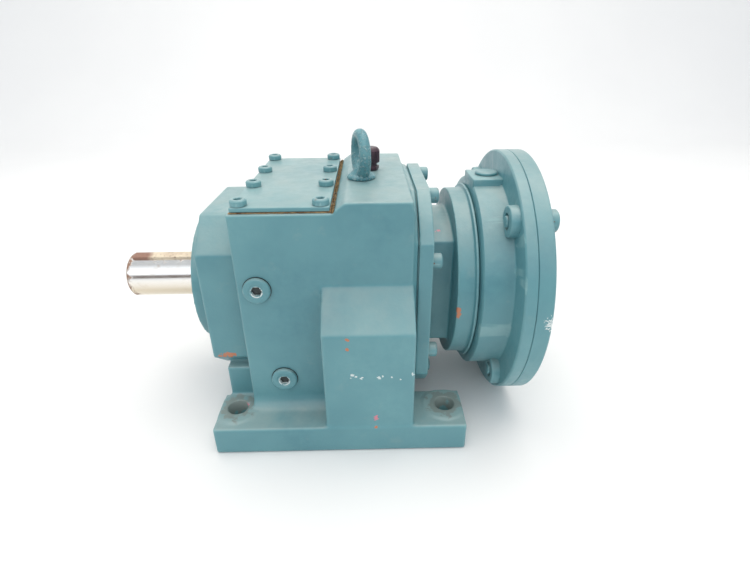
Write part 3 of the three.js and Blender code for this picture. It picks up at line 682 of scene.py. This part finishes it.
def gear_case():
    """The cast gearcase with its four foot holes and the output bore."""
    solids = case_solids()
    for x, y in foot_holes():
        pad = revolve("pad", rod(20, PAD_TOP, PAD_R), "z", (x, y))
        limit = block("limit", (-CASE_HIGH[0], -CASE_HIGH[1], 0), (CASE_HIGH[0], CASE_HIGH[1], 60))
        solids.append(boolean(pad, limit, "INTERSECT"))
    case = cast(solids, 1.15, 9)
    r = FOOT_HOLE[2]
    for x, y in foot_holes():
        mouth = FOOT_THICK + 3
        hole = [(-5, 0), (-5, r), (FOOT_THICK + 0.4, r), (mouth, r + 2.4), (mouth, 0)]
        cut(case, revolve("hole", hole, "z", (x, y), 48))
    face, back = CASE_LOW[0], CASE_LOW[0] + 18
    bore = [(face - 5, 0), (face - 5, 38), (face + 0.4, 37), (face + 1.4, BOSS_BORE_R)]
    bore += [(back, BOSS_BORE_R), (back, 0)]
    cut(case, revolve("bore", bore, centre=(0, AXIS_Z)))
    return dress(case, CASE_PAINT, "gear_housing", angle=50)


def gasket():
    """The brown paper gasket, its ragged edge squeezed out round the cover and up its right side."""
    rng = random.Random(3)
    z0, z1 = GASKET_LOW[2], GASKET_HIGH[2]
    x0, x1 = GASKET_LOW[0], GASKET_HIGH[0]
    half = GASKET_HIGH[1]
    outline = []
    corners = [(x0, -half), (x1, -half), (x1, half), (x0, half)]
    for start, end in zip(corners, corners[1:] + corners[:1]):
        steps = 60
        for i in range(steps):
            t = i / steps
            x = start[0] + (end[0] - start[0]) * t + rng.uniform(-0.35, 0.35)
            y = start[1] + (end[1] - start[1]) * t + rng.uniform(-0.35, 0.35)
            outline.append((x, y))
    sheet = prism("cover_gasket_paper", outline, "z", z0, z1)
    lumps = []
    for i in range(150):
        y = -half + 2 * half * i / 149
        x = (x1 + DECK_EDGE_X[0]) / 2 + rng.uniform(-0.3, 0.3)
        r = rng.uniform(0.9, 1.6)
        top = z1 + rng.uniform(0.2, 1.7)
        profile = [(z0, 0), (z0, r * 1.3), (top - 0.6, r), (top, r * 0.5), (top, 0)]
        lumps.append(revolve("lump", profile, "z", (x, y), 7))
    dress(sheet, GASKET, "cover_gasket")
    dress(join(lumps), GRIT, None)


def cover():
    """The inspection plate, a plain slab with eased edges."""
    piece = block("inspection_plate", COVER_LOW, COVER_HIGH)
    apply_modifier(piece, "SUBSURF", subdivision_type="SIMPLE", levels=2)
    bevel(piece, 0.9, 3)
    return dress(piece, CASE_PAINT, "inspection_cover")


def cap_screw(name, node, axis, head_r, head_h, socket, material, edge=0.9):
    """A socket head cap screw that stands where its CAD node does; its head points along +axis."""
    low, high = span(node)
    index = "xyz".index(axis)
    others = [i for i in range(3) if i != index]
    centre = tuple((low[i] + high[i]) / 2 for i in others)
    tip, top = low[index], high[index]
    seat = top - head_h
    shank = head_r * 0.5
    profile = [(tip, 0), (tip, shank - 0.8), (tip + 0.8, shank), (seat, shank)]
    profile += [(seat, head_r), (top - edge, head_r), (top, head_r - edge)]
    profile += [(top, socket * 0.64), (top - 0.5, socket * 0.58), (top - 0.5, 0)]
    screw = revolve(name, soften(profile, 0.45, 3), axis, centre, 40)
    floor = seat + head_h * 0.35
    cut(screw, prism("socket", hexagon(socket, centre, 0.3), axis, floor, top + 1))
    dress(screw, material, node)
    # Dark fill at the socket floor: painted shade inside the hexagon
    socket_shade = prism(name + "_dirt", hexagon(socket - 0.3, centre, 0.3), axis, floor + 0.05, floor + 0.5)
    dress(socket_shade, SOCKET_DARK, None)


def all_screws():
    """The cap screws of the cover, the octagonal plate and the motor flange."""
    for i in range(1, 9):
        cap_screw(f"cover_cap_screw_{i}", f"cover_screw_{i}", "z", 6.5, 5, 5.5, BOLT_PAINT, 1.2)
        cap_screw(f"plate_cap_screw_{i}", f"plate_screw_{i}", "x", 6.5, 8, 6, BOLT_PAINT)
    for i in range(1, 5):
        cap_screw(f"flange_cap_screw_{i}", f"flange_screw_{i}", "x", 9.525, 12.7, 9.5, BOLT_PAINT, 1.3)


def oil_plug(node):
    """A flanged hexagon-socket plug on the near wall, over its sealing ring."""
    low, high = span(node)
    centre = seat_of(node, (0, 2))
    face = low[1]
    wall = -BLOCK_Y
    r = (high[0] - low[0]) / 2
    profile = [(wall + 8, 0), (wall + 8, 8), (wall - 0.4, 8), (wall - 0.4, r)]
    profile += [(face + 0.9, r), (face, r - 1.2), (face, 6.6), (face + 0.5, 6.0), (face + 0.5, 0)]
    plug = revolve(node + "_body", soften(profile, 0.5, 3), "y", centre, 64)
    cut(plug, prism("socket", hexagon(PLUG_HEXAGON, centre), "y", face - 1, face + 7))
    dress(plug, PLUG_PAINT[node], node)
    # Dark fill at the socket floor: painted shade inside the hexagon
    socket_shade = prism(node + "_dirt", hexagon(PLUG_HEXAGON - 0.2, centre), "y", face + 3.2, face + 6.9)
    dress(socket_shade, SOCKET_DARK, None)
    washer = [(wall - 0.5, 8), (wall - 0.5, r + 0.5), (wall + 0.3, r + 0.5), (wall + 0.3, 8)]
    ring = revolve(node + "_seal", washer, "y", centre, 64)
    dress(ring, SOCKET_DARK, None)


def plug_paint(node):
    """Paint with the hexagon's mouth scraped bright by a key."""
    x, z = seat_of(node, (0, 2))
    centre = (x, span(node)[0][1], z - 0.6)
    return paint(node + "_paint", ring=(centre, 3.8, 5.2), coarse=0.12)


PLUG_PAINT = {node: plug_paint(node) for node in OIL_PLUGS}


def eye_ring(middle, around=96, across=28):
    """The bent bar of the eye, a little thicker towards its foot."""
    bm = bmesh.new()
    rings = []
    side = Vector((-math.sin(EYE_TURN), math.cos(EYE_TURN), 0))
    for i in range(around):
        a = 2 * math.pi * i / around
        out = Vector((math.cos(a) * math.cos(EYE_TURN), math.cos(a) * math.sin(EYE_TURN), math.sin(a)))
        base = Vector((*EYE_CENTRE, middle)) + out * EYE_RING_R
        thick = EYE_WIRE * (1.0 + 0.12 * max(0, -math.sin(a)))
        ring = []
        for j in range(across):
            b = 2 * math.pi * j / across
            point = base + out * thick * math.cos(b) + side * thick * 1.04 * math.sin(b)
            ring.append(bm.verts.new(point))
        rings.append(ring)
    for i in range(around):
        for j in range(across):
            k, m = (i + 1) % around, (j + 1) % across
            bm.faces.new([rings[i][j], rings[k][j], rings[k][m], rings[i][m]])
    return link("forged_eyebolt", bm)


def eyebolt():
    """The forged lifting eye, its collar and its shank."""
    top = span("lifting_eyebolt")[1][2]
    seat = FLAT_SEAT
    eye = eye_ring(top - EYE_RING_R - EYE_WIRE)
    stem = [(seat - 10, 0), (seat - 10, 4.9), (seat, 4.9), (seat, 12.5), (seat + 2.6, 12.5)]
    stem += [(seat + 4.5, 9), (seat + 7, 6.6), (seat + 9, 5.6), (seat + 9, 0)]
    foot = revolve("stem", soften(stem, 0.9, 4), "z", EYE_CENTRE, 56)
    piece = cast([eye, foot], 0.42, 5)
    return dress(piece, EYE_PAINT, "lifting_eyebolt", angle=70)


def bubbly_paint():
    """Thick paint over a forging, with runs and blisters."""
    g = Graph("blistered_paint", Roughness=0.34)
    tone = g.between(g.noise(60, 4), 0.35, 0.65)
    color = g.mix(tone, TEAL_DARK, TEAL_LIGHT)
    blister = g.between(g.noise(520, 2, 0.4), 0.55, 0.66)
    g.color(g.mix(g.math("MULTIPLY", blister, 0.6), color, (0.36, 0.52, 0.53)))
    g.roughness(g.between(g.noise(200, 3), 0.3, 0.7, 0.24, 0.40))
    g.normal(g.bump(blister, 0.8, 0.0009, g.bump(g.noise(150, 3), 0.5, 0.001)))
    return g.material


EYE_PAINT = bubbly_paint()


def breather():
    """The plastic vent: a hexagon neck and a cap with finger grooves."""
    centre = seat_of("breather_stem", (0, 1))
    seat = FLAT_SEAT
    top = span("breather_stem")[1][2]
    neck = [(seat - 9, 0), (seat - 9, 4.9), (seat, 4.9), (seat, 6), (top, 6), (top, 0)]
    body = revolve("breather_neck", soften(neck, 0.5, 3), "z", centre, 40)
    nut = bevel(prism("breather_hex", hexagon(14, centre, 0.2), "z", seat + 0.2, seat + 3.8), 0.5)
    dress(join([body, nut]), CAP_PLASTIC, "breather_stem")
    cap_low, cap_high = span("breather_cap")
    z0, z1 = cap_low[2], cap_high[2]
    r = (cap_high[0] - cap_low[0]) / 2
    profile = [(z0, 0), (z0, r - 1), (z0 + 1.2, r), (z1 - 3, r)]
    profile += [(z1 - 0.6, r - 1.6), (z1, r - 3), (z1, 0)]
    cap = revolve("breather_top", soften(profile, 0.8, 4), "z", centre, 72)
    groove = [(z0 - 1, 0), (z0 - 1, 1.4), (z1 - 3.5, 1.4), (z1 - 2.2, 0)]
    grooves = []
    for i in range(12):
        a = 2 * math.pi * i / 12
        place = (centre[0] + (r + 0.7) * math.cos(a), centre[1] + (r + 0.7) * math.sin(a))
        grooves.append(revolve("groove", groove, "z", place, 12))
    cut(cap, *grooves)
    return dress(cap, CAP_PLASTIC, "breather_cap")


# ---- input side ----


def arched_plate(inset=0.0):
    """The plate's outline in (y, z), its cut corners bowed out a little."""
    half, top = PLATE["half_y"] - inset, PLATE["top"] - inset
    corners = cut_corners(half, PLATE["flat_y"], top, PLATE["flat_z"], -PLATE["flat_z"], -top)
    out = []
    for i, start in enumerate(corners):
        end = corners[(i + 1) % len(corners)]
        slanted = abs(start[0] - end[0]) > 1 and abs(start[1] - end[1]) > 1
        steps = 8 if slanted else 1
        along = Vector(end) - Vector(start)
        outward = Vector((start[0] + end[0], start[1] + end[1] - 2 * AXIS_Z)).normalized()
        for s in range(steps):
            t = s / steps
            bow = outward * 3.0 * math.sin(math.pi * t) * slanted
            out.append(tuple(Vector(start) + along * t + bow))
    return out


def neck_outline():
    """The square neck in (y, z), its top and bottom arched."""
    steps = [i / 8 for i in range(-8, 9)]
    top = [(-t * NECK_HALF, NECK_HALF + NECK_ARCH * (1 - t * t)) for t in steps]
    return [(y, AXIS_Z + z) for y, z in top] + [(-y, AXIS_Z - z) for y, z in top]


def input_casting():
    """The octagonal plate, the square neck and the round collar, cast in one."""
    centre = (0, AXIS_Z)
    x0, lip_x, x1 = RING_X
    collar = [(x0, 0), (x0, RING_R), (lip_x, RING_R), (lip_x, RING_LIP_R), (x1, RING_LIP_R), (x1, 0)]
    solids = [
        prism("input_casting", arched_plate(), "x", *PLATE_X),
        prism("neck", neck_outline(), "x", PLATE_X[1] - 3, x0 + 3),
        revolve("collar", collar, centre=centre, segments=180),
    ]
    piece = cast(solids, 0.85, 7)
    for i in range(1, 9):
        place = seat_of(f"plate_screw_{i}")
        seat = rod(PLATE_X[1] - 0.25, PLATE_X[1] + 6, PLATE_SEAT_R)
        hole = rod(PLATE_X[0] - 2, PLATE_X[1] + 4, PLATE_HOLE_R)
        seat = revolve("seat", seat, centre=place, segments=40)
        hole = revolve("hole", hole, centre=place, segments=32)
        cut(piece, seat, hole)
    bore = [(90, 0), (90, 36), (111, 36), (111, 44), (125, 44), (125, 0)]
    cut(piece, revolve("bore", bore, centre=centre))
    return dress(piece, PART_PAINT, "input_housing", angle=50)


def bell_profile():
    """Section of the bell and its flange, as a closed loop of (x, radius)."""
    x0, x1 = BELL_LOW[0], BELL_HIGH[0]
    return [
        (x0, 45),
        (x0, RING_LIP_R - 1.5),
        (x0 + 0.6, RING_LIP_R + 1),
        (x0 + 0.8, BELL_R - 1.5),
        (x0 + 1.8, BELL_R),
        (FLANGE_X - 3, BELL_R),
        (FLANGE_X - 0.6, BELL_R + 1.2),
        (FLANGE_X, BELL_R + 4),
        (FLANGE_X, FLANGE_R - 1.2),
        (FLANGE_X + 1.2, FLANGE_R),
        (x1 - 0.5, FLANGE_R),
        (x1, FLANGE_R - 0.5),
        (x1, BELL_BORE_R),
        (x0 + 6, BELL_BORE_R),
        (x0 + 6, 45),
    ]


def bell():
    """The motor bell with its flange, the flat pad on top and four bolt bosses."""
    centre = (0, AXIS_Z)
    piece = revolve("motor_bell_casting", bell_profile(), centre=centre, segments=220)
    x0, x1 = BELL_LOW[0] + 0.8, FLANGE_X + 1
    pad_z = PLUG_LOW[2] + 8 - 0.25
    pad = block("pad", (x0, -PAD_HALF_Y, AXIS_Z + BELL_BORE_R + 1), (x1, PAD_HALF_Y, pad_z))
    boolean(piece, bevel(pad, 1.2), "UNION")
    for place in flange_bolts():
        boss = [(BOSS_X, 0), (BOSS_X, 12.8), (FLANGE_X + 1, 13.4), (FLANGE_X + 1, 0)]
        boss = revolve("boss", soften(boss, 1.5), centre=place, segments=64)
        inside = rod(BOSS_X - 5, FLANGE_X + 5, BELL_BORE_R + 2)
        cut(boss, revolve("inside", inside, centre=centre, segments=220))
        boolean(piece, boss, "UNION")
    for place in flange_bolts():
        hole = rod(BOSS_X - 4, BELL_HIGH[0] + 2, FLANGE_HOLE_R)
        cut(piece, revolve("hole", hole, centre=place, segments=32))
    bevel(piece, 0.7, 2, 40)
    return dress(piece, PART_PAINT, "motor_bell", angle=40)


def access_plug():
    """The round plug in the pad on top of the bell."""
    top = PLUG_HIGH[2]
    r = (PLUG_HIGH[0] - PLUG_LOW[0]) / 2
    profile = [(top - 10, 0), (top - 10, 8), (top - 2.8, 8), (top - 2.8, r)]
    profile += [(top - 0.9, r), (top, r - 1.6), (top - 0.2, 0)]
    plug = revolve("access_plug_cap", soften(profile, 0.8, 4), "z", seat_of("access_plug", (0, 1)), 64)
    return dress(plug, PART_PAINT, "access_plug")


def adapter():
    """The ring between the bell and a motor, with the motor's pilot bore and bolt holes."""
    centre = (0, AXIS_Z)
    x0, x1 = RING_LOW[0], RING_HIGH[0]
    profile = [(x0, 50), (x0, FLANGE_R - 0.6), (x0 + 0.6, FLANGE_R)]
    profile += [(x1 - 1.2, FLANGE_R), (x1, FLANGE_R - 1.2)]
    profile += [(x1, PILOT_R + 0.8), (x1 - 0.8, PILOT_R), (x1 - 4, PILOT_R), (x1 - 4, 50.6), (x1 - 4.6, 50)]
    ring = revolve("adapter_ring_plate", soften(profile, 0.4, 3, closed=True), centre=centre, segments=220)
    holes = []
    for place in flange_bolts():
        seat = x1 - FLANGE_SINK
        stepped = [(x0 - 1, 0), (x0 - 1, FLANGE_HOLE_R), (seat, FLANGE_HOLE_R)]
        stepped += [(seat, FLANGE_SEAT_R), (x1 + 1, FLANGE_SEAT_R), (x1 + 1, 0)]
        holes.append(revolve("hole", stepped, centre=place, segments=48))
    for place in quarter_turns(MOTOR_CIRCLE_R):
        mouth = [(x0 - 1, 0), (x0 - 1, MOTOR_HOLE_R), (x1 - 0.6, MOTOR_HOLE_R)]
        mouth += [(x1 + 1, MOTOR_HOLE_R + 1.6), (x1 + 1, 0)]
        holes.append(revolve("hole", mouth, centre=place, segments=32))
    cut(ring, *holes)
    return dress(ring, FLANGE_PAINT, "adapter_ring", angle=40)


# ---- output side ----


def turn_on_shaft(piece):
    """Turns a piece about the shaft axis to where the key stands at rest."""
    centre = Matrix.Translation((0, 0, AXIS_Z * MM))
    piece.data.transform(centre @ Matrix.Rotation(math.radians(KEY_TURN), 4, "X") @ centre.inverted())
    return piece


def output_shaft():
    """The keyed shaft with its centre hole, and the key in its slot."""
    centre = (0, AXIS_Z)
    end, inner = SHAFT_LOW[0], -60
    shoulder = CASE_LOW[0] - 0.5
    profile = [(end, 0), (end, SHAFT_R - 1.6), (end + 1.6, SHAFT_R), (shoulder, SHAFT_R)]
    profile += [(shoulder, SHOULDER_R), (inner, SHOULDER_R), (inner, 0)]
    shaft = revolve("keyed_shaft", soften(profile, 0.3, 2), centre=centre, segments=160)
    floor, top = AXIS_Z + SHAFT_R - KEY_HALF, AXIS_Z + SHAFT_R + KEY_PROUD
    slot = block("slot", (KEY_LOW[0] - 0.2, -KEY_HALF, floor), (KEY_HIGH[0] + 0.2, KEY_HALF, top + 5))
    cut(shaft, turn_on_shaft(slot))
    centre_drill = [(end - 1, 0), (end - 1, 5.2), (end, 4.6), (end + 4.5, 2), (end + 9, 2), (end + 10, 0)]
    cut(shaft, revolve("centre_drill", centre_drill, centre=centre, segments=48))
    dress(shaft, SHAFT_STEEL, "output_shaft", OUTPUT)
    low = (KEY_LOW[0], 0.15 - KEY_HALF, floor + 0.15)
    key = bevel(block("shaft_key", low, (KEY_HIGH[0], KEY_HALF - 0.15, top)), 0.6, 3)
    dress(turn_on_shaft(key), KEY_STEEL, "output_key", OUTPUT)


def output_seal():
    """The rubber shaft seal, its case and its folded lip."""
    centre = (0, AXIS_Z)
    x0 = span("output_seal")[0][0]
    case = [(x0, 33.5), (x0, 35.8), (x0 + 10, 35.8), (x0 + 10, 25.5), (x0 + 8, 25.5), (x0 + 8, 33.5)]
    lips = [(x0 + 1.4, 33.6), (x0 + 0.8, 31), (x0 + 1.8, 28.5), (x0 + 0.5, 24)]
    lips += [(x0 + 1, 21.1), (x0 + 3, 21), (x0 + 4, 24), (x0 + 5, 33.6)]
    piece = join([
        revolve("lip_seal", soften(case, 0.4, 3, closed=True), centre=centre, segments=120),
        revolve("lip", soften(lips, 0.4, 3, closed=True), centre=centre, segments=120),
    ])
    return dress(piece, SEAL_RUBBER, "output_seal")


# ---- inner pieces, kept as the frame has them ----


def inner_pieces():
    """Materials for the CAD solids that no Blender piece replaces."""
    steel = machined("gear_steel", (0.46, 0.45, 0.43))
    bright = machined("bearing_steel", (0.72, 0.72, 0.71), 0.2)
    iron = machined("hub_iron", (0.30, 0.30, 0.30), 0.42)
    spider = dull("spider_rubber", (0.50, 0.07, 0.03), (0.62, 0.12, 0.05), 120, 0.5)
    looks = {
        "bearing": bright,
        "coupling_hub": iron,
        "coupling_spider": spider,
        "input_gasket": PART_PAINT,
        "input_seal": SEAL_RUBBER,
    }
    for name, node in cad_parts.items():
        if node.hide_render:
            continue
        found = [look for start, look in looks.items() if name.startswith(start)]
        node.data.materials.clear()
        node.data.materials.append(found[0] if found else steel)
        node.data.shade_smooth()
        node.data.set_sharp_from_angle(angle=math.radians(28))


# ---- stage, light and camera ----


def stage():
    """A pale floor that sweeps up into a backdrop."""
    bm = bmesh.new()
    near, far, bend, height, half_width, steps = -4000, 1200, 900, 5000, 6000, 16
    path = [(near, 0), (far, 0)]
    for i in range(1, steps + 1):
        angle = math.pi / 2 * i / steps
        path.append((far + bend * math.sin(angle), bend * (1 - math.cos(angle))))
    path.append((far + bend, height))
    rows = [[bm.verts.new((x, y, z)) for x in (-half_width, half_width)] for y, z in path]
    for first, second in zip(rows, rows[1:]):
        bm.faces.new([first[0], first[1], second[1], second[0]])
    floor = link("studio_floor", bm)
    floor.data.transform(Matrix.Translation((0, 0, -0.0002)))
    floor.data.shade_smooth()
    g = Graph("floor_white", Roughness=0.55)
    g.color(g.mix(g.noise(3, 2), (0.80, 0.80, 0.80), (0.84, 0.84, 0.835)))
    floor.data.materials.append(g.material)


def area_light(name, location, size, power, color, target=(0, 0, 0.1)):
    """A soft rectangle of light that faces the target."""
    data = bpy.data.lights.new(name, "AREA")
    data.shape = "RECTANGLE"
    data.size, data.size_y = size
    data.energy = power
    data.color = color
    lamp = bpy.data.objects.new(name, data)
    lamp.location = location
    lamp.rotation_euler = (Vector(target) - Vector(location)).to_track_quat("-Z", "Y").to_euler()
    bpy.context.scene.collection.objects.link(lamp)


PALE_SKY = (0.92, 0.96, 1.0, 1)
DARK_ROOM = (0.16, 0.14, 0.13, 1)
SKY_STRENGTH = (0.60, 1.35)  # behind the object, and on the camera's side


def studio_world():
    """Pale bluish light all round, and a dark room along the horizon that the camera doesn't see."""
    world = bpy.data.worlds.new("studio")
    world.use_nodes = True
    nodes, links = world.node_tree.nodes, world.node_tree.links
    split = nodes.new("ShaderNodeSeparateXYZ")
    links.new(nodes.new("ShaderNodeTexCoord").outputs["Generated"], split.inputs[0])

    def ramp(socket, low, high):
        """A soft step from 0 to 1 along one direction of the sky."""
        node = nodes.new("ShaderNodeMapRange")
        node.interpolation_type = "SMOOTHSTEP"
        links.new(split.outputs[socket], node.inputs[0])
        node.inputs[1].default_value = low
        node.inputs[2].default_value = high
        return node.outputs[0]

    dark = ramp("Z", 0.28, 0.20)
    seen = nodes.new("ShaderNodeLightPath").outputs["Is Camera Ray"]
    unseen = nodes.new("ShaderNodeMath")
    unseen.operation = "SUBTRACT"
    unseen.inputs[0].default_value = 1.0
    links.new(seen, unseen.inputs[1])
    for mask in (ramp("Z", -0.06, 0.0), ramp("Y", -0.1, -0.5), unseen.outputs[0]):
        both = nodes.new("ShaderNodeMath")
        both.operation = "MULTIPLY"
        links.new(dark, both.inputs[0])
        links.new(mask, both.inputs[1])
        dark = both.outputs[0]
    tint = nodes.new("ShaderNodeMix")
    tint.data_type = "RGBA"
    links.new(dark, tint.inputs["Factor"])
    tint.inputs["A"].default_value = PALE_SKY
    tint.inputs["B"].default_value = DARK_ROOM
    links.new(tint.outputs["Result"], nodes["Background"].inputs["Color"])
    power = ramp("Y", -0.1, -0.6)
    power.node.inputs[3].default_value, power.node.inputs[4].default_value = SKY_STRENGTH
    links.new(power, nodes["Background"].inputs["Strength"])
    bpy.context.scene.world = world


def lights():
    """The sky, a large lamp overhead and a weak one behind the camera."""
    studio_world()
    area_light("overhead", (0.1, 0.25, 1.9), (2.2, 1.8), 32, color=(1.0, 0.95, 0.88))
    area_light("front", (-0.5, -1.8, 1.7), (1.8, 1.2), 3, color=(0.95, 0.98, 1.0))
    bpy.context.scene.view_settings.view_transform = "Standard"


CAMERA_YAW, CAMERA_PITCH, CAMERA_ROLL = 0.0159, 0.4667, -0.0090  # radians
CAMERA_AT = (0.02607, -0.4155, AXIS_Z * MM + 0.19686)
FOCAL_LENGTH = 22.21


def camera():
    """A camera low over the near side, looking down at the case, at the angle of a photograph."""
    yaw, pitch, roll = CAMERA_YAW, CAMERA_PITCH, CAMERA_ROLL
    forward = Vector((math.sin(yaw) * math.cos(pitch), math.cos(yaw) * math.cos(pitch), -math.sin(pitch)))
    level = Vector((math.cos(yaw), -math.sin(yaw), 0))
    above = level.cross(forward)
    right = math.cos(roll) * level + math.sin(roll) * above
    up = -math.sin(roll) * level + math.cos(roll) * above
    data = bpy.data.cameras.new("camera")
    data.sensor_width = 36
    data.lens = FOCAL_LENGTH
    data.clip_start = 0.01
    eye = bpy.data.objects.new("camera", data)
    turn = Matrix((right, up, -forward)).transposed().to_4x4()
    eye.matrix_world = Matrix.Translation(CAMERA_AT) @ turn
    bpy.context.scene.collection.objects.link(eye)
    bpy.context.scene.camera = eye


def build():
    gear_case()
    gasket()
    cover()
    all_screws()
    for node in OIL_PLUGS:
        oil_plug(node)
    eyebolt()
    breather()
    input_casting()
    bell()
    access_plug()
    adapter()
    output_shaft()
    output_seal()
    inner_pieces()
    stage()
    lights()
    camera()


build()
